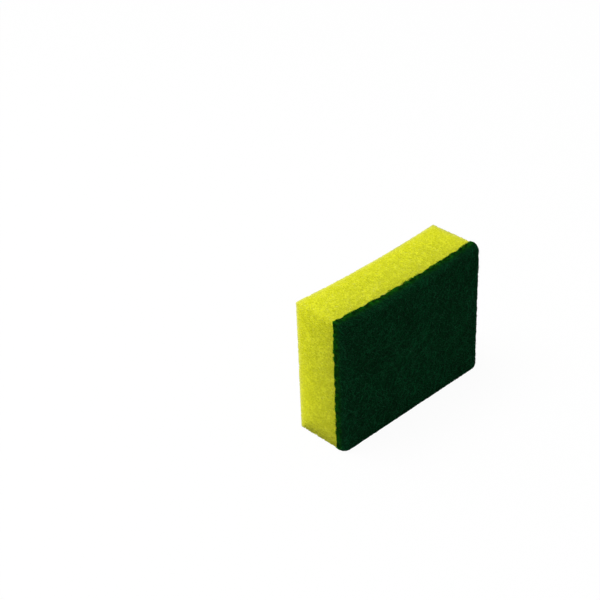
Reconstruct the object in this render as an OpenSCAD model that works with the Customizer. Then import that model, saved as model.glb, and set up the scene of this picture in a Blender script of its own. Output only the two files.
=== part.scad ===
// Cleaning sponge: a block of soft foam with a scouring pad bonded over one wide face.
// It stands on its long narrow edge. X runs through the thickness, from the foam's free face
// to the pad's outer face, Y runs along the length, and Z runs up from the surface it stands on.

/* [Overall] */
// Length of the sponge, along Y
sponge_length = 90; // [70:1:140]
// Height of the sponge at its ends as it stands on its edge, along Z
sponge_height = 69; // [50:1:100]
// How far the top edge sags in the middle of its length
top_sag = 1.5; // [0.2:0.1:4]
// Radius of the four corners, which one blade cuts through both layers
corner_r = 0.6; // [0.6:0.1:3]

/* [Foam block] */
// Thickness of the foam, from its free face to the bond with the pad
foam_thickness = 23; // [12:0.2:45]

/* [Scouring pad] */
// Thickness of the pad, from the bond to its outer face
pad_thickness = 6; // [3:0.2:12]
// Radius of the corners of the pad's outer face, where the web bends back furthest
face_corner_r = 3; // [2:0.1:8]
// How deep the cut edge bends over, measured through the pad from its outer face
rim_depth = 4.6; // [1:0.1:8]
// How far the edge of the outer face stands in from the cut edge
rim_inset = 1.5; // [0.4:0.1:3]

/* [Cut edge of the pad] */
// Height of the lumps that cut fibres leave along the edge, from hollow to crest
lump_height = 0.7; // [0.2:0.05:1]
// Distance from one lump to the next along the edge
lump_pitch = 7.5; // [5:0.1:15]

/* [Hidden] */

// Smoothness of the round corners
$fn = 64;

thickness = foam_thickness + pad_thickness;
back_x = -thickness / 2;
bond_x = back_x + foam_thickness;
half_length = sponge_length / 2;

// The sagging top is part of a large circle, drawn with this many pieces along the sponge
sag_steps = 24;
sag_r = (half_length * half_length + top_sag * top_sag) / (2 * top_sag);
sag_turn = 2 * asin(half_length / sag_r);

// The bend of the rim takes no more than this share of the pad's thickness
rim_share = 0.9;
rim_d = min(rim_depth, rim_share * pad_thickness);
// Rings of points through the bend of the rim
rim_rings = 6;

// Points on each quarter round of the pad's outline, and on each lump
corner_steps = 8;
lump_steps = 6;

// Where each corner lies, as its side in Y and in Z, and the direction in which its round starts.
// They go round the outline from the lower far corner.
CORNERS = [[1, -1, -90], [1, 1, 0], [-1, 1, 90], [-1, -1, 180]];

// Steps along the straight side that follows a corner
function side_steps(corner) =
    ceil((corner % 2 == 0 ? sponge_height : sponge_length) * lump_steps / lump_pitch);

// The outline as [corner, share of the way to the next corner, direction outward]
OUTLINE = [
    for (corner = [0:3])
        let (start = CORNERS[corner][2], steps = side_steps(corner))
            each concat(
                [for (i = [0:corner_steps]) [corner, 0, start + 90 * i / corner_steps]],
                [for (i = [1:steps - 1]) [corner, i / steps, start + 90]]
            )
];
count = len(OUTLINE);

// The lumps are the crests of three waves that run slantwise through the pad. Each is given by
// how many of its crests lie along X, Y and Z within one lump's distance.
WAVES = [[0.5, 1, 1.1], [-0.7, 1.6, -1.7], [0.9, -0.6, 0.5]];
// The lumps reach their full height at this height above the surface the sponge stands on
lump_rise = 4;

function ripple(wave, point) = sin(360 * (wave * point) / lump_pitch);

// How far the cut edge stands out at a point of the even outline. The bottom run stays straight,
// because the sponge stands on it.
function lump(point) =
    let (sum = ripple(WAVES[0], point) + ripple(WAVES[1], point) + ripple(WAVES[2], point))
    min(1, point[2] / lump_rise) * lump_height * sum / 6;

// How far the rim's bend brings the edge in: a quarter of an ellipse that ends at the outer face
function bend(x) =
    let (into = max(0, (x - (pad_thickness - rim_d)) / rim_d))
    rim_inset * (1 - sqrt(max(0, 1 - into * into)));

// Depths of the rings of points: the bond, then down the bend by equal angles
DEPTHS = [
    0,
    for (ring = [0:rim_rings]) pad_thickness - rim_d + rim_d * sin(90 * ring / rim_rings)
];

// The middle of a corner's round, for an outline that stands in by inset and has corners of radius r
function corner_middle(corner, inset, r) = [
    CORNERS[corner % 4][0] * (half_length - inset - r),
    sponge_height / 2 + CORNERS[corner % 4][1] * (sponge_height / 2 - inset - r)
];

// Height of a point once the top has sagged, which lowers the middle of the length most
function sagged(y, z) =
    let (along = y / half_length)
    z * (1 - top_sag / sponge_height * (1 - along * along));

function edge_point(i, x) =
    let (
        p = OUTLINE[i],
        inset = bend(x),
        r = corner_r + (face_corner_r - corner_r) * inset / rim_inset,
        from = corner_middle(p[0], inset, r),
        core = from + (corner_middle(p[0] + 1, inset, r) - from) * p[1],
        way = [cos(p[2]), sin(p[2])],
        edge = core + r * way,
        // The lumps die out where the bend reaches the outer face
        left = 1 - inset / rim_inset,
        lumpy = edge + left * lump([x, edge[0], edge[1] - inset]) * way
    )
    [bond_x + x, lumpy[0], sagged(lumpy[0], lumpy[1])];

// The block's cut outline before its top sags, as wide as the sponge is long
module even_outline() {
    union() {
        translate([corner_r - half_length, 0])
            square([sponge_length - 2 * corner_r, sponge_height]);
        translate([-half_length, corner_r])
            square([sponge_length, sponge_height - 2 * corner_r]);
        for (side = [-1, 1], z = [corner_r, sponge_height - corner_r])
            translate([side * (half_length - corner_r), z])
                circle(corner_r);
    }
}

module foam_block() {
    color([0.84, 0.87, 0.15])
        translate([back_x, 0, 0])
            rotate([90, 0, 90])
                linear_extrude(foam_thickness)
                    difference() {
                        even_outline();
                        translate([0, sponge_height - top_sag + sag_r])
                            circle(sag_r, $fn = ceil(360 * sag_steps / sag_turn));
                    }
}

// The pad is lofted through rings of edge points, from the bond to its outer face.
// Each flat face is a fan of triangles round a point in its middle.
module scour_pad() {
    last = (len(DEPTHS) - 1) * count;
    bond_middle = last + count;
    outer_middle = bond_middle + 1;
    points = [
        for (x = DEPTHS, i = [0:count - 1]) edge_point(i, x),
        for (x = [0, pad_thickness]) [bond_x + x, 0, sponge_height / 2]
    ];
    faces = [
        for (i = [0:count - 1])
            let (next = (i + 1) % count)
                each [[bond_middle, i, next], [outer_middle, last + next, last + i]],
        for (ring = [0:count:last - count], i = [0:count - 1])
            let (a = ring + i, b = ring + (i + 1) % count)
                each [[a, a + count, b], [b, a + count, b + count]]
    ];
    color([0.03, 0.18, 0.09])
        polyhedron(points, faces);
}

foam_block();
scour_pad();
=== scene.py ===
import math
import bpy
import numpy as np
from mathutils import Matrix, Vector, noise
from mathutils.geometry import delaunay_2d_cdt


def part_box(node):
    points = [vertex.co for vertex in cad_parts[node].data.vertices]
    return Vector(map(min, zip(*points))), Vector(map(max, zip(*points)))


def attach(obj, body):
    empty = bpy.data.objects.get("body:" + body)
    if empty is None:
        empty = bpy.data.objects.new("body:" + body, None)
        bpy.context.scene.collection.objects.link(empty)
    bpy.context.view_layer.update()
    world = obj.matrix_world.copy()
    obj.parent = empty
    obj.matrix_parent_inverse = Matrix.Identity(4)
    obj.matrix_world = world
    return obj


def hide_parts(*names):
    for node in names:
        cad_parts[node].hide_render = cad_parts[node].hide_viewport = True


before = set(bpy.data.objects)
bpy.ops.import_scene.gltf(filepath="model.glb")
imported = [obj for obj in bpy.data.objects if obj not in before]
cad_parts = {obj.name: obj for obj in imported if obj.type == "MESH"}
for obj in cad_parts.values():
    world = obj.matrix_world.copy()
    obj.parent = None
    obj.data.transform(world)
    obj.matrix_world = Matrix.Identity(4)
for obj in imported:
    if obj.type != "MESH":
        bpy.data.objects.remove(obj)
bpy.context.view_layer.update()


# Foam block: one block sliced from a bun of soft open-cell polyurethane foam, lemon yellow.
# The blade opened every bubble that it crossed, so each cut face is a close net of thin walls
# round pits of many sizes. The pad is bonded over its front, and its free edges are soft.
mm = 0.001
corner_r = 0.6
foam_edge_r = 0.5
top_sag = 1.5
_, foam_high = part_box("foam_block")
half_length = foam_high[1] / mm
height = foam_high[2] / mm
# Each size of bubble: its spacing, and the share of the room left that it may take.
bubble_sizes = ((2.3, 0.06), (1.85, 0.26), (1.45, 0.5), (1.1, 1.0))
bubble_seed = 11
bend_steps = 25


def rim_profile(straight, depth, inset):
    """A block's side in section, from the bond forward over its soft edge to the flat face"""
    turn = np.radians(np.linspace(0, 90, bend_steps))
    forward = np.concatenate([[0], straight + depth * np.sin(turn)])
    inward = np.concatenate([[0], inset * (1 - np.cos(turn))])
    out = np.concatenate([[1], depth * np.cos(turn)])
    ahead = np.concatenate([[0], inset * np.sin(turn)])
    travel = np.concatenate([[0], np.cumsum(np.hypot(np.diff(forward), np.diff(inward)))])
    length = np.hypot(out, ahead)
    return {"travel": travel, "forward": forward, "inward": inward,
            "out": out / length, "ahead": ahead / length}


def block_from(node, edge_depth, edge_inset, face_corner_r, facing, lumps):
    """The shape of a layer: a block with a soft edge round the face that looks along X, and
    lumps that stand out from its cut edge"""
    low, high = (np.array(corner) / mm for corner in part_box(node))
    thick = high[0] - low[0]
    return {"bond_x": low[0] if facing > 0 else high[0], "facing": facing, "thick": thick,
            "profile": rim_profile(thick - edge_depth, edge_depth, edge_inset),
            "inset": edge_inset, "face_corner_r": face_corner_r, "lumps": lumps}


def core_size(shape, inward):
    """Half sizes of the rectangle between the corners' middles, and the corners' radius"""
    r = corner_r + (shape["face_corner_r"] - corner_r) * inward / shape["inset"]
    return half_length - inward - r, height / 2 - inward - r, r


def no_lumps(forward, y, z):
    return 0


def beside(shape, share_y, share_z, out_y, out_z, travel, lift):
    """Points and normals on a block's side, lifted off it. Their place round the outline is a
    share of the core's half sizes and a direction outward from there."""
    profile = shape["profile"]
    stops = profile["travel"]
    travel = np.broadcast_to(travel, np.shape(share_y))
    forward = np.interp(travel, stops, profile["forward"]) + np.minimum(travel, 0)
    inward, out, ahead = (np.interp(travel, stops, profile[k]) for k in ("inward", "out", "ahead"))
    half_y, half_z, r = core_size(shape, inward)
    edge_y = share_y * half_y + r * out_y
    edge_z = height / 2 + share_z * half_z + r * out_z
    lump = shape["lumps"](forward, edge_y, edge_z - inward) * (1 - inward / shape["inset"])
    x = shape["bond_x"] + shape["facing"] * (forward + lift * ahead)
    y = edge_y + (lump + lift * out) * out_y
    z = edge_z + (lump + lift * out) * out_z
    normals = np.stack([shape["facing"] * ahead, out * out_y, out * out_z], -1)
    return np.stack([x, y, z], -1), normals


def girth():
    """Distances round the cut outline at which its straight and round stretches end"""
    run_y = 2 * (half_length - corner_r)
    run_z = height - 2 * corner_r
    arc = corner_r * math.pi / 2
    return np.cumsum([0, run_y / 2, arc, run_z, arc, run_y, arc, run_z, arc, run_y / 2])


def on_side(shape, s, travel, lift):
    """Points and normals at distances s round the outline and travel forward from the bond"""
    stops = girth()
    s = np.mod(s, stops[-1])
    share_y = np.interp(s, stops, [0, 1, 1, 1, 1, -1, -1, -1, -1, 0])
    share_z = np.interp(s, stops, [-1, -1, -1, 1, 1, 1, 1, -1, -1, -1])
    turn = np.interp(s, stops, np.radians([-90, -90, 0, 0, 90, 90, 180, 180, 270, 270]))
    return beside(shape, share_y, share_z, np.cos(turn), np.sin(turn), travel, lift)


# Bubbles keep apart by this share of their two sizes together, and off the edges by this share
# of their own. The last size gets enough tries for each place to fill what the others left.
packed_apart = 0.43
packed_off_edge = 0.42
tries_for_share = 1.3
tries_to_fill = 9


def packed(width, tall, sizes, rng):
    """Points packed like bubbles of several sizes over a rectangle, the large ones first. Each
    size is a spacing and the share of the room left that its bubbles may take."""
    spots = {}
    placed = []
    cell = sizes[0][0]
    last = sizes[-1][0]
    for size, share in sizes:
        tries_each = tries_to_fill if size == last else tries_for_share
        tries = int(share * width * tall / size ** 2 * tries_each)
        for x, y in rng.uniform((0, 0), (width, tall), (tries, 2)).tolist():
            if min(x, y, width - x, tall - y) < packed_off_edge * size:
                continue
            i, j = int(x / cell), int(y / cell)
            around = [(a, b) for a in (i - 1, i, i + 1) for b in (j - 1, j, j + 1)]
            near = [spot for place in around for spot in spots.get(place, ())]
            if all((x - u) ** 2 + (y - v) ** 2 > (packed_apart * (size + other)) ** 2
                   for u, v, other in near):
                spots.setdefault((i, j), []).append((x, y, size))
                placed.append((x, y))
    return np.array(placed)


# Places along an edge are off by up to this share of their pitch.
spaced_uneven = 0.2


def spaced(length, pitch, rng):
    """Places along an edge, a little uneven, without its ends"""
    count = round(length / pitch)
    uneven = rng.uniform(-spaced_uneven, spaced_uneven, count - 1)
    return (np.arange(1, count) + uneven) * length / count


# Points this near are one point, and triangles this small are left out.
same_place = 1e-6
no_area = 1e-9


def joined_up(points):
    """Triangles between flat points, running anticlockwise"""
    net = delaunay_2d_cdt([Vector(p) for p in points], [], [], 0, same_place)
    faces, origin = net[2], net[3]
    first = np.array([o[0] for o in origin])
    rows = first[np.array([f for f in faces if len(f) == 3])]
    a, b, c = (points[rows[:, k]] for k in range(3))
    area = (b[:, 0] - a[:, 0]) * (c[:, 1] - a[:, 1]) - (b[:, 1] - a[:, 1]) * (c[:, 0] - a[:, 0])
    rows[area < 0] = rows[area < 0][:, ::-1]
    return rows[np.abs(area) > no_area]


# On the flat face points keep off its edge by this share of the spacing there, and they are
# said to lie this far from the bond, which is further than any point on a side.
face_off_edge = 0.4
face_travel = 100.0


def net_over(shape, sizes, seed):
    """Triangles over a block's sides and face that share their points, open at the bond. Gives
    the points, the triangles and the triangles' middles, each point or middle with its normal,
    the points' travel from the bond, and the points along the bond in order."""
    rng = np.random.default_rng(seed)
    around, up = girth()[-1], shape["profile"]["travel"][-1]
    pitch = sizes[-2][0]
    seam = np.concatenate([[0], spaced(up, pitch, rng), [up]])
    bond_s = spaced(around, pitch, rng)
    face_s = spaced(around, pitch, rng)
    side = np.concatenate([
        np.stack([np.zeros_like(seam), seam], -1),
        np.stack([bond_s, np.zeros_like(bond_s)], -1),
        np.stack([face_s, np.full_like(face_s, up)], -1),
        packed(around, up, sizes, rng),
        np.stack([np.full_like(seam, around), seam], -1),
    ])
    side_count = len(side) - len(seam)
    side_rows = joined_up(side)
    side_ids = np.concatenate([np.arange(side_count), np.arange(len(seam))])

    edge_ids = np.concatenate([[len(seam) - 1], len(seam) + len(bond_s) + np.arange(len(face_s))])
    edge, _ = on_side(shape, side[edge_ids][:, 0], up, 0)
    inset = shape["inset"]
    flat = packed(2 * (half_length - inset), height - 2 * inset, sizes, rng)
    flat += [inset - half_length, inset]
    half_y, half_z, r = core_size(shape, inset)
    core = np.clip(flat - [0, height / 2], [-half_y, -half_z], [half_y, half_z]) + [0, height / 2]
    flat = flat[np.linalg.norm(flat - core, axis=1) < r - face_off_edge * pitch]
    face = np.concatenate([edge[:, 1:], flat])
    face_rows = joined_up(face)
    face_ids = np.concatenate([edge_ids, side_count + np.arange(len(flat))])

    triangles = np.concatenate([side_ids[side_rows][:, ::-1], face_ids[face_rows]])
    if shape["facing"] < 0:
        triangles[len(side_rows):] = triangles[len(side_rows):, ::-1]
    else:
        triangles[:len(side_rows)] = triangles[:len(side_rows), ::-1]
    bond = [0, *range(len(seam), len(seam) + len(bond_s))]
    travel = np.concatenate([side[:side_count, 1], np.full(len(flat), face_travel)])
    net = {"triangles": triangles, "bond": bond, "point_travel": travel}
    sides = (side[:side_count], side[side_rows].mean(axis=1))
    faces = (flat, face[face_rows].mean(axis=1))
    for kind, on_sides, on_face in zip(("point", "mid"), sides, faces):
        places, normals = on_side(shape, on_sides[:, 0], on_sides[:, 1], 0)
        face_x = np.full(len(on_face), shape["bond_x"] + shape["facing"] * shape["thick"])
        face_normals = np.tile([float(shape["facing"]), 0, 0], (len(on_face), 1))
        net[kind] = np.concatenate([places, np.column_stack([face_x, on_face])])
        net[kind + "_normal"] = np.concatenate([normals, face_normals])
    return net


def rings_of(net):
    """For each point, the triangles round it in order, and its two neighbours along the bond"""
    ahead = {}
    for k, (a, b, c) in enumerate(net["triangles"].tolist()):
        ahead[a, b] = (k, c)
        ahead[b, c] = (k, a)
        ahead[c, a] = (k, b)
    start = {}
    for a, b in ahead:
        if a not in start or (b, a) not in ahead:
            start[a] = b
    rings = []
    for v in range(len(net["point"])):
        ring = []
        at = start[v]
        while (v, at) in ahead:
            k, at = ahead[v, at]
            ring.append(k)
            if at == start[v]:
                break
        rings.append((ring, None if at == start[v] else (start[v], at)))
    return rings


# A wall wanders in and out by up to these distances. A pit's depth is a share of its bubble's
# radius, and it has its full painted shade from full_depth on: the finish colours points darker
# the deeper they lie. Bubbles over shelved_r have a shelf, which is a share as wide as the bubble
# and as deep as its pit, and given this share of the pit's painted shade.
wall_wander = (-0.07, 0.05)
wall_tone = 0.5
pit_share = (0.3, 0.75)
full_depth = 0.6
shelved_r = 0.5
shelf_share = (0.66, 0.8)
shelf_sink = 0.3
shelf_painted_shade = 0.4


def opened_bubbles(net, rng):
    """The cut surface of foam: a wall between each two bubbles, a rounded shelf inside the walls
    of the larger ones, and a pit in the middle. Gives the points and faces, and for each point
    how deep it lies and how dull its bubble is."""
    lift = rng.uniform(*wall_wander, (len(net["mid"]), 1))
    points = (net["mid"] + net["mid_normal"] * lift).tolist()
    depth = [0.0] * len(points)
    tone = [wall_tone] * len(points)
    faces = []
    own = {}
    between = {}
    for v, (ring, ends) in enumerate(rings_of(net)):
        corners = list(ring)
        if ends is not None:
            for end in ends:
                if (end, v) in between:
                    between[v, end] = between[end, v]
                else:
                    between[v, end] = len(points)
                    points.append(((net["point"][v] + net["point"][end]) / 2).tolist())
            own[v] = len(points)
            points.append(net["point"][v].tolist())
            depth += [0.0] * (len(points) - len(depth))
            tone += [wall_tone] * (len(points) - len(tone))
            corners = [between[v, ends[0]], *ring, between[v, ends[1]], own[v]]
        rim = np.array([points[k] for k in corners])
        middle = rim.mean(axis=0)
        radius = np.linalg.norm(rim - middle, axis=1).mean()
        deep = radius * rng.uniform(*pit_share)
        normal = net["point_normal"][v]
        bottom = len(points)
        points.append((middle - normal * deep).tolist())
        # Depth mark, which the finish turns into painted shade in the pit.
        depth.append(deep / full_depth)
        dullness = rng.uniform(0, 1)
        tone.append(dullness)
        turn = corners[1:] + corners[:1]
        if radius > shelved_r and ends is None:
            shelf = middle + (rim - middle) * rng.uniform(*shelf_share) - normal * deep * shelf_sink
            inner = [bottom + 1 + k for k in range(len(corners))]
            points.extend(shelf.tolist())
            depth.extend([deep * shelf_painted_shade / full_depth] * len(corners))
            tone.extend([dullness] * len(corners))
            inner_turn = inner[1:] + inner[:1]
            faces += [(a, b, d, c) for a, b, c, d in zip(corners, turn, inner, inner_turn)]
            faces += [(c, d, bottom) for c, d in zip(inner, inner_turn)]
        else:
            faces += [(a, b, bottom) for a, b in zip(corners, turn)]
    loop = []
    for v, following in zip(net["bond"], net["bond"][1:] + net["bond"][:1]):
        loop += [own[v], between[v, following]]
    faces.append(tuple(loop))
    points = np.array(points)
    points[:, 2] = np.maximum(points[:, 2], 0)
    return points, faces, depth, tone


def as_piece(name, points, faces, finish, **marks):
    """A smooth piece from points in millimetres, after its top has sagged. Each mark is a number
    at every point, which the finish reads by its name."""
    mesh = bpy.data.meshes.new(name)
    along = points[:, 1] / half_length
    points = points * mm
    points[:, 2] *= 1 - top_sag / height * (1 - along ** 2)
    mesh.from_pydata(points.tolist(), [], faces)
    mesh.polygons.foreach_set("use_smooth", np.ones(len(mesh.polygons), bool))
    mesh.materials.append(finish)
    for mark, values in marks.items():
        layer = mesh.attributes.new(mark, "FLOAT", "POINT")
        layer.data.foreach_set("value", np.asarray(values, np.float32))
    mesh.update()
    piece = bpy.data.objects.new(name, mesh)
    bpy.context.scene.collection.objects.link(piece)
    return piece


def new_finish(name, rough, specular):
    """A material with its nodes, its links and its shader"""
    finish = bpy.data.materials.new(name)
    finish.use_nodes = True
    nodes = finish.node_tree.nodes
    shader = nodes["Principled BSDF"]
    shader.inputs["Roughness"].default_value = rough
    shader.inputs["Specular IOR Level"].default_value = specular
    return finish, nodes, finish.node_tree.links, shader


def mark_node(nodes, name):
    """The number that a piece's points carry under this name"""
    node = nodes.new("ShaderNodeAttribute")
    node.attribute_name = name
    return node.outputs["Fac"]


def grain_node(nodes, links, size, detail, roughness=0.5):
    """Cloudy grain fixed in the piece, with features of about this size in millimetres"""
    place = nodes.new("ShaderNodeTexCoord")
    grain = nodes.new("ShaderNodeTexNoise")
    grain.inputs["Scale"].default_value = 1 / (size * mm)
    grain.inputs["Detail"].default_value = detail
    grain.inputs["Roughness"].default_value = roughness
    links.new(place.outputs["Object"], grain.inputs["Vector"])
    return grain.outputs["Fac"]


def blend_node(nodes, links, share, first, second, low=0.0, high=1.0):
    """From the first colour to the second as share runs from low to high. Each colour is a
    value or another node's output."""
    span = nodes.new("ShaderNodeMapRange")
    span.inputs["From Min"].default_value = low
    span.inputs["From Max"].default_value = high
    links.new(share, span.inputs["Value"])
    mix = nodes.new("ShaderNodeMix")
    mix.data_type = "RGBA"
    links.new(span.outputs["Result"], mix.inputs["Factor"])
    # A Mix node has sockets for numbers and vectors too: these three are its colours.
    first_socket, second_socket, blended = mix.inputs[6], mix.inputs[7], mix.outputs[2]
    for socket, colour in ((first_socket, first), (second_socket, second)):
        if isinstance(colour, tuple):
            socket.default_value = (*colour, 1)
        else:
            links.new(colour, socket)
    return blended


def bump_node(nodes, links, height_from, strength, depth, shader):
    """Fine relief, this many millimetres deep"""
    bump = nodes.new("ShaderNodeBump")
    bump.inputs["Strength"].default_value = strength
    bump.inputs["Distance"].default_value = depth * mm
    links.new(height_from, bump.inputs["Height"])
    links.new(bump.outputs["Normal"], shader.inputs["Normal"])


# foam_pit_painted_shade is painted shade: pits are coloured darker the deeper they lie.
foam_wall = (0.710, 0.742, 0.0245)
foam_pit_painted_shade = (0.470, 0.493, 0.0100)
foam_dull = (0.500, 0.526, 0.0125)
# About how many millimetres light spreads through the foam
foam_glow_reach = 50
foam_finish, nodes, links, shader = new_finish("lemon_foam", rough=0.9, specular=0.1)
# Painted shade in the pits: the depth mark blends each colour towards the pit's darker colour.
deep = mark_node(nodes, "depth")
bright = blend_node(nodes, links, deep, foam_wall, foam_pit_painted_shade, low=0.1, high=0.9)
dulled = blend_node(nodes, links, deep, foam_dull, foam_pit_painted_shade, low=0.1, high=0.9)
cut = blend_node(nodes, links, mark_node(nodes, "tone"), bright, dulled, low=0.1, high=0.9)
patch = grain_node(nodes, links, size=1.9, detail=2)
patchy = blend_node(nodes, links, patch, cut, dulled, low=0.42, high=0.62)
links.new(patchy, shader.inputs["Base Color"])
skin = grain_node(nodes, links, size=0.35, detail=3)
bump_node(nodes, links, skin, strength=0.4, depth=0.1, shader=shader)
shader.inputs["Subsurface Weight"].default_value = 0.7
shader.inputs["Subsurface Radius"].default_value = (1, 1, 0.3)
shader.inputs["Subsurface Scale"].default_value = foam_glow_reach * mm

foam_shape = block_from("foam_block", foam_edge_r, foam_edge_r, corner_r, -1, no_lumps)
foam_net = net_over(foam_shape, bubble_sizes, bubble_seed)
rng = np.random.default_rng(bubble_seed + 1)
points, faces, depth, tone = opened_bubbles(foam_net, rng)
foam = as_piece("foam_block_cells", points, faces, foam_finish, depth=depth, tone=tone)
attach(foam, "root")
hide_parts("foam_block")


# Scouring pad, body: a web of crimped nylon fibres sprayed with resin and dark green abrasive.
# Its body is the matted part below the loose fibres, lumpy and full of small hollows.
# It is bonded to the foam's front, and its cut edge bends over to its outer face.
pad_rim_depth = 4.6
pad_rim_inset = 1.5
pad_face_corner_r = 3.0
lump_height = 0.7
lump_pitch = 7.5
lump_rise = 4.0
# Three waves run slantwise through the pad. Each is given by how many of its crests lie along
# X, Y and Z within one lump's distance.
lump_waves = ((0.5, 1, 1.1), (-0.7, 1.6, -1.7), (0.9, -0.6, 0.5))
mat_sizes = ((0.9, 0.1), (0.68, 0.5), (0.55, 1.0))
mat_seed = 21
# How deep the mat lies under the even face, and the lumps and hollows in it: their size, the
# seed of their places, and their height or depth before roughness takes its share.
mat_sink = 0.3
mat_swells = (3.4, 3.0, 0.3)
mat_knots = (1.4, 9.0, 0.6)
mat_hollows = (0.8, 5.0, 1.0)
mat_roughness = 0.5
web_dark = (0.0005, 0.0170, 0.0050)
web_green = (0.0012, 0.0560, 0.0150)
web_worn = (0.0080, 0.1500, 0.0500)
web_grit = (0.0350, 0.1300, 0.0650)
# The cut edge's greens are lighter than the face's: painted light that stands for light falling on
# the edge.
web_cut_dark = (0.0015, 0.0330, 0.0016)
web_cut_painted_light_green = (0.0150, 0.2050, 0.0055)
web_tip = (0.0300, 0.2600, 0.0080)


def web_noise(points, size, seed):
    """Lumps of about this size at points in millimetres, from about -1 to 1"""
    shift = Vector((seed, 2 * seed, -seed))
    return np.array([noise.noise(Vector(p) / size + shift) for p in points.tolist()])


def off_floor(z):
    """0 at the bottom, which stays straight because the sponge stands on it, and up to 1 above"""
    return np.clip(z / lump_rise, 0, 1)


def cut_lumps(forward, y, z):
    """How far the cut edge stands out: the crests of the waves that run through the pad"""
    waves = [np.sin(2 * math.pi * (a * forward + b * y + c * z) / lump_pitch)
             for a, b, c in lump_waves]
    return off_floor(z) * lump_height * sum(waves) / (2 * len(waves))


def mat_relief(points, size, seed, rise):
    """Lumps of this size that stand this far out"""
    return rise * web_noise(points, size, seed)


pad_shape = block_from("scour_pad", pad_rim_depth, pad_rim_inset, pad_face_corner_r, 1, cut_lumps)
pad_reach = pad_shape["profile"]["travel"][-1]
mat_net = net_over(pad_shape, mat_sizes, mat_seed)
points = mat_net["point"]
lumps = mat_relief(points, *mat_swells) + mat_relief(points, *mat_knots)
hollows = np.maximum(mat_relief(points, *mat_hollows), 0)
sink = mat_sink + off_floor(points[:, 2]) * mat_roughness * (hollows - lumps)
points = points - mat_net["point_normal"] * sink[:, None]
points[:, 2] = np.maximum(points[:, 2], 0)
points[mat_net["bond"], 0] = pad_shape["bond_x"]
faces = mat_net["triangles"].tolist() + [mat_net["bond"][::-1]]

# The cut edge's colour, lighter as painted light, goes this share of the way over the bend, and
# fades over this share.
# Round the bond, tips that reach over the foam take on their own colour within tip_fade.
edge_end = 0.58
edge_fade = 0.35
tip_fade = 0.5


# This mask lays the cut edge's painted light.
def edge_share(travel):
    """1 on the pad's cut edge, falling to 0 where it has bent over to the outer face, and rising
    to 2 on tips that lie over the foam"""
    cut_edge = np.clip((edge_end * pad_reach - travel) / (edge_fade * pad_reach), 0, 1)
    return cut_edge + np.clip(0.5 - travel / tip_fade, 0, 1)


def gritted(nodes, links, colour):
    """This colour with pale specks of abrasive in it"""
    grit = grain_node(nodes, links, size=0.42, detail=1)
    return blend_node(nodes, links, grit, colour, web_grit, low=0.62, high=0.74)


mat_finish, nodes, links, shader = new_finish("matted_web", rough=0.85, specular=0.0)
speck = grain_node(nodes, links, size=0.5, detail=4, roughness=0.7)
on_face = blend_node(nodes, links, speck, web_dark, web_green, low=0.4, high=0.65)
on_face = gritted(nodes, links, on_face)
# On the cut edge, a lighter green as painted light.
on_edge = blend_node(nodes, links, speck, web_cut_dark, web_cut_painted_light_green, low=0.35, high=0.65)
coat = blend_node(nodes, links, mark_node(nodes, "edge"), on_face, on_edge)
links.new(coat, shader.inputs["Base Color"])
tangle = grain_node(nodes, links, size=0.16, detail=2)
bump_node(nodes, links, tangle, strength=0.6, depth=0.06, shader=shader)

mat = as_piece("scour_pad_mat", points, faces, mat_finish, edge=edge_share(mat_net["point_travel"]))
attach(mat, "root")
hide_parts("scour_pad")


# Scouring pad, fibres: thousands of separate crimped fibres laid every way over the mat,
# crossing over and under each other. They bend with the pad over its edge, and end at the bond.
layer_count = 3000
fibre_length = (8, 15)
fibre_steps = 10
fibre_sides = 3
fibre_r = 0.065
fibre_spread = (0.7, 1.25)
fibre_stop = (-0.3, 0.5)
# Each layer: the lowest and highest that its fibres lie off the pad's even face, and its
# brightest tone, lower in the deeper layers as painted shade under the fibres above.
layers = {
    "pad_fibres_low": (-0.34, -0.12, 0.8),
    "pad_fibres_middle": (-0.22, 0.0, 0.9),
    "pad_fibres_top": (-0.12, 0.08, 1.0),
}
layers_seed = 31
tone_falloff = 1.5
# A fibre's heading drifts by so many radians a millimetre, and swings about that with the
# crimp. It also rises and falls, a little more slowly.
heading_drift = 0.07
crimp_pitch = (1.8, 4.2)
crimp_swing = (0.15, 0.75)
crimp_rise = (0.02, 0.12)
rise_slower = 1.3
tiny = 1e-9


def laid_on(shape, plan_y, plan_z, lift, stop):
    """Points, normals and travel of a plan of the block's face that is wrapped over its edge.
    Nothing is wrapped past the stop, which is a travel from the bond."""
    half_y, half_z, r = core_size(shape, shape["inset"])
    core_y = np.clip(plan_y, -half_y, half_y)
    core_z = np.clip(plan_z - height / 2, -half_z, half_z)
    away_y = plan_y - core_y
    away_z = plan_z - height / 2 - core_z
    away = np.hypot(away_y, away_z)
    scale = np.maximum(away, tiny)
    travel = np.maximum(shape["profile"]["travel"][-1] - (away - r), stop)
    points, normals = beside(shape, core_y / half_y, core_z / half_z,
                             away_y / scale, away_z / scale, travel, lift)
    flat = away <= r
    face_x = shape["bond_x"] + shape["facing"] * (shape["thick"] + lift)
    points[flat] = np.stack([face_x, plan_y, plan_z], -1)[flat]
    normals[flat] = [shape["facing"], 0, 0]
    return points, normals, np.where(flat, face_travel, travel)


def unit(vectors):
    """The same directions, each with a length of 1"""
    return vectors / np.maximum(np.linalg.norm(vectors, axis=-1, keepdims=True), tiny)


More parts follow.
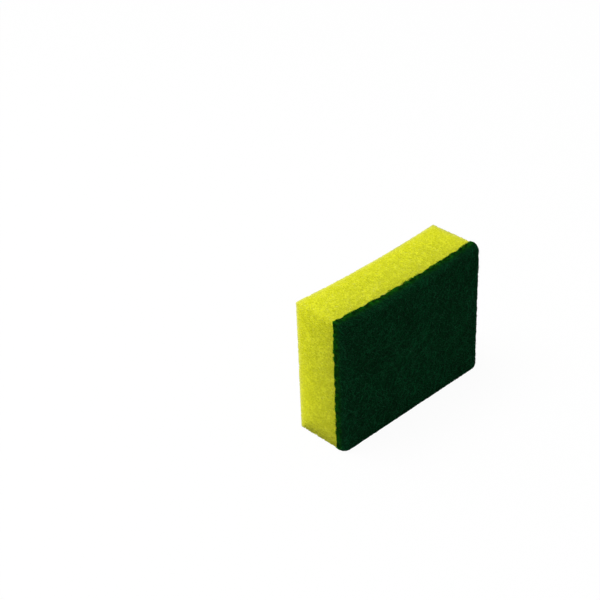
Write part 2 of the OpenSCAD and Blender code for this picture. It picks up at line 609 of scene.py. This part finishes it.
def fibres(shape, middles, steps, length, low, high, stop, rng):
    """Crimped fibres through given middles of the plan, as thin three-sided tubes: their points,
    faces and the travel of each point"""
    count = len(middles)
    rows = steps + 1

    def each(a, b):
        return rng.uniform(a, b, (count, 1))

    step = (length / steps)[:, None]
    u = np.arange(rows)[None, :] * step
    wave = each(*crimp_pitch)
    heading = (each(0, 2 * math.pi) + rng.normal(0, heading_drift, (count, 1)) * u
               + each(*crimp_swing) * np.sin(2 * math.pi * (u / wave + each(0, 1))))
    y = np.cumsum(np.cos(heading) * step, axis=1)
    z = np.cumsum(np.sin(heading) * step, axis=1)
    y += middles[:, :1] - y.mean(axis=1, keepdims=True)
    z += middles[:, 1:] - z.mean(axis=1, keepdims=True)
    lift = (each(low, high)
            + each(*crimp_rise) * np.sin(2 * math.pi * (u / (rise_slower * wave) + each(0, 1))))
    line, normal, travel = laid_on(shape, y, z, lift, stop[:, None])
    line[..., 2] = np.maximum(line[..., 2], fibre_r)
    along = np.gradient(line, axis=1)
    across = unit(np.cross(along, normal))
    upward = unit(np.cross(across, along))
    thick = fibre_r * each(*fibre_spread)[..., None]
    corners = np.radians(90 + 360 / fibre_sides * np.arange(fibre_sides))
    tube = np.stack([line + thick * (upward * math.sin(a) + across * math.cos(a))
                     for a in corners], axis=2)
    tube[..., 2] = np.maximum(tube[..., 2], 0)
    base = (np.arange(count)[:, None, None] * rows + np.arange(steps)[None, :, None]) * fibre_sides
    side = np.arange(fibre_sides)[None, None, :]
    turn = (side + 1) % fibre_sides
    ring = (base + side, base + turn, base + turn + fibre_sides, base + side + fibre_sides)
    quads = np.stack(np.broadcast_arrays(*ring), -1).reshape(-1, 4)
    ends = np.arange(count) * rows * fibre_sides
    caps = [(e, e + 2, e + 1) for e in ends.tolist()]
    caps += [(e, e + 1, e + 2) for e in (ends + steps * fibre_sides).tolist()]
    return tube.reshape(-1, 3), quads.tolist() + caps, np.repeat(travel.ravel(), fibre_sides)


fibre_finish, nodes, links, shader = new_finish("coated_fibre", rough=0.7, specular=0.04)
tone = mark_node(nodes, "tone")
edge = mark_node(nodes, "edge")
on_face = blend_node(nodes, links, tone, web_dark, web_green, low=0.0, high=0.5)
on_face = blend_node(nodes, links, tone, on_face, web_worn, low=0.55, high=1.0)
speck = grain_node(nodes, links, size=0.55, detail=3, roughness=0.6)
on_face = blend_node(nodes, links, speck, web_dark, on_face, low=0.36, high=0.52)
on_face = gritted(nodes, links, on_face)
# On the cut edge, a lighter green as painted light.
on_edge = blend_node(nodes, links, tone, web_cut_dark, web_cut_painted_light_green, low=0.0, high=0.8)
clump = grain_node(nodes, links, size=1.8, detail=2)
on_edge = blend_node(nodes, links, clump, web_cut_dark, on_edge, low=0.4, high=0.6)
coat = blend_node(nodes, links, edge, on_face, on_edge)
coat = blend_node(nodes, links, edge, coat, web_tip, low=1.0, high=2.0)
links.new(coat, shader.inputs["Base Color"])
resin = grain_node(nodes, links, size=0.14, detail=2)
bump_node(nodes, links, resin, strength=0.5, depth=0.03, shader=shader)

wrap = pad_reach - pad_rim_inset
plan_low = (-half_length - wrap, -wrap)
plan_high = (half_length + wrap, height + wrap)
for seed, (name, (low, high, brightest)) in enumerate(layers.items(), layers_seed):
    rng = np.random.default_rng(seed)
    middles = rng.uniform(plan_low, plan_high, (layer_count, 2))
    length = rng.uniform(*fibre_length, layer_count)
    stop = rng.uniform(*fibre_stop, layer_count)
    points, faces, travel = fibres(pad_shape, middles, fibre_steps, length, low, high, stop, rng)
    # Deeper layers are darker: painted shade under the fibres above.
    tones = brightest * rng.uniform(0, 1, layer_count) ** tone_falloff
    tones = np.repeat(tones, (fibre_steps + 1) * fibre_sides)
    piece = as_piece(name, points, faces, fibre_finish, tone=tones, edge=edge_share(travel))
    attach(piece, "root")


# Scouring pad, cut ends: short ends of the same coated fibres, where the blade cut the web.
# They stand out along the cut edge, thickest by the bond, where they catch on the foam and
# leave its border ragged.
end_count = 5200
end_seed = 41
end_length = (1.4, 4.0)
end_steps = 4
end_stop = (-0.3, 0.3)
end_lift = 0.12
end_tones = (0.1, 1)
crowding = 1.6
# Ends stand together in tufts. A tuft reaches further over the foam, lifts its lowest and its
# highest ends further off the edge, and is brighter than the lower gaps between, whose darker
# ends are painted shade.
tuft_size = 1.9
tuft_seed = 4.0
tuft_reach = 0.7
tuft_low = 0.35
tuft_high = 0.5
tuft_tone = 0.7
darkest_gap_painted_shade = 0.2

rng = np.random.default_rng(end_seed)
s = rng.uniform(0, girth()[-1], end_count)
share = rng.uniform(0, 1, end_count) ** crowding
edge_middle, _ = on_side(pad_shape, s, 0.0, 0.0)
lifted, _ = on_side(pad_shape, s, 0.0, 1.0)
outward = lifted[:, 1:] - edge_middle[:, 1:]
plan = edge_middle[:, 1:] + outward * ((1 - share) * pad_reach - pad_rim_inset)[:, None]
length = rng.uniform(*end_length, end_count)
tuft = web_noise(edge_middle, tuft_size, tuft_seed) * off_floor(edge_middle[:, 2])
stop = rng.uniform(*end_stop, end_count) - tuft_reach * np.maximum(tuft, 0)
low = -end_lift + tuft_low * tuft[:, None]
high = end_lift + tuft_high * tuft[:, None]
points, faces, travel = fibres(pad_shape, plan, end_steps, length, low, high, stop, rng)
# Ends in the gaps between tufts are darker: painted shade.
tones = rng.uniform(*end_tones, end_count) * np.clip(tuft_tone + tuft, darkest_gap_painted_shade, 1)
tones = np.repeat(tones, (end_steps + 1) * fibre_sides)
ends = as_piece("pad_cut_ends", points, faces, fibre_finish, tone=tones, edge=edge_share(travel))
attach(ends, "root")


# Floor: a plain white sheet under the object. Most of what the camera sees of it is its own
# even white, so that it keeps only a soft part of the object's shadow.
floor_half = 2.5
floor_white = 0.92
floor_glow = 0.95
floor_mesh = bpy.data.meshes.new("floor")
corners = [(x * floor_half, y * floor_half, 0) for x, y in ((-1, -1), (1, -1), (1, 1), (-1, 1))]
floor_mesh.from_pydata(corners, [], [(0, 1, 2, 3)])
floor = bpy.data.objects.new("floor", floor_mesh)
bpy.context.scene.collection.objects.link(floor)
floor_finish, nodes, links, shader = new_finish("white_floor", rough=0.9, specular=0.0)
shader.inputs["Base Color"].default_value = (floor_white, floor_white, floor_white, 1)
glow = nodes.new("ShaderNodeEmission")
glow.inputs["Color"].default_value = (1, 1, 1, 1)
seen = nodes.new("ShaderNodeLightPath")
share = nodes.new("ShaderNodeMath")
share.operation = "MULTIPLY"
share.inputs[1].default_value = floor_glow
mixed = nodes.new("ShaderNodeMixShader")
links.new(seen.outputs["Is Camera Ray"], share.inputs[0])
links.new(share.outputs["Value"], mixed.inputs["Fac"])
links.new(shader.outputs["BSDF"], mixed.inputs[1])
links.new(glow.outputs["Emission"], mixed.inputs[2])
links.new(mixed.outputs["Shader"], nodes["Material Output"].inputs["Surface"])
floor_mesh.materials.append(floor_finish)


# Light: an even pale room, which the camera sees as plain white, and one large soft lamp high
# above the sponge, out past its near end and the foam's free face.
room_light = 0.55
lamp_size = 0.7
lamp_watts = 9.6
lamp_from = Vector((-0.3, -0.32, 1.15))
lamp_to = Vector((0, 0, 0.03))
world = bpy.data.worlds.new("pale_room")
world.use_nodes = True
background = world.node_tree.nodes["Background"]
background.inputs["Color"].default_value = (1, 1, 1, 1)
seen = world.node_tree.nodes.new("ShaderNodeLightPath")
strength = world.node_tree.nodes.new("ShaderNodeMapRange")
strength.inputs["To Min"].default_value = room_light
strength.inputs["To Max"].default_value = 1
world.node_tree.links.new(seen.outputs["Is Camera Ray"], strength.inputs["Value"])
world.node_tree.links.new(strength.outputs["Result"], background.inputs["Strength"])
bpy.context.scene.world = world
lamp_data = bpy.data.lights.new("soft_lamp", "AREA")
lamp_data.shape = "SQUARE"
lamp_data.size = lamp_size
lamp_data.energy = lamp_watts
lamp = bpy.data.objects.new("soft_lamp", lamp_data)
lamp.location = lamp_from
lamp.rotation_euler = (lamp_to - lamp_from).to_track_quat("-Z", "Y").to_euler()
bpy.context.scene.collection.objects.link(lamp)


# Camera: where the photograph was taken from, worked out from the block's straight edges.
camera_at = Vector((0.38728, -0.41458, 0.42813))
camera_azimuth = math.radians(47.17)
camera_elevation = math.radians(33.29)
camera_roll = math.radians(-2.50)
camera_data = bpy.data.cameras.new("camera")
camera_data.sensor_width = 36
camera_data.lens = 90.2
camera_data.clip_start = 0.05
camera = bpy.data.objects.new("camera", camera_data)
camera.matrix_world = (Matrix.Translation(camera_at)
                       @ Matrix.Rotation(camera_azimuth, 4, "Z")
                       @ Matrix.Rotation(math.pi / 2 - camera_elevation, 4, "X")
                       @ Matrix.Rotation(camera_roll, 4, "Z"))
bpy.context.scene.collection.objects.link(camera)
bpy.context.scene.camera = camera
bpy.context.scene.view_settings.view_transform = "Standard"
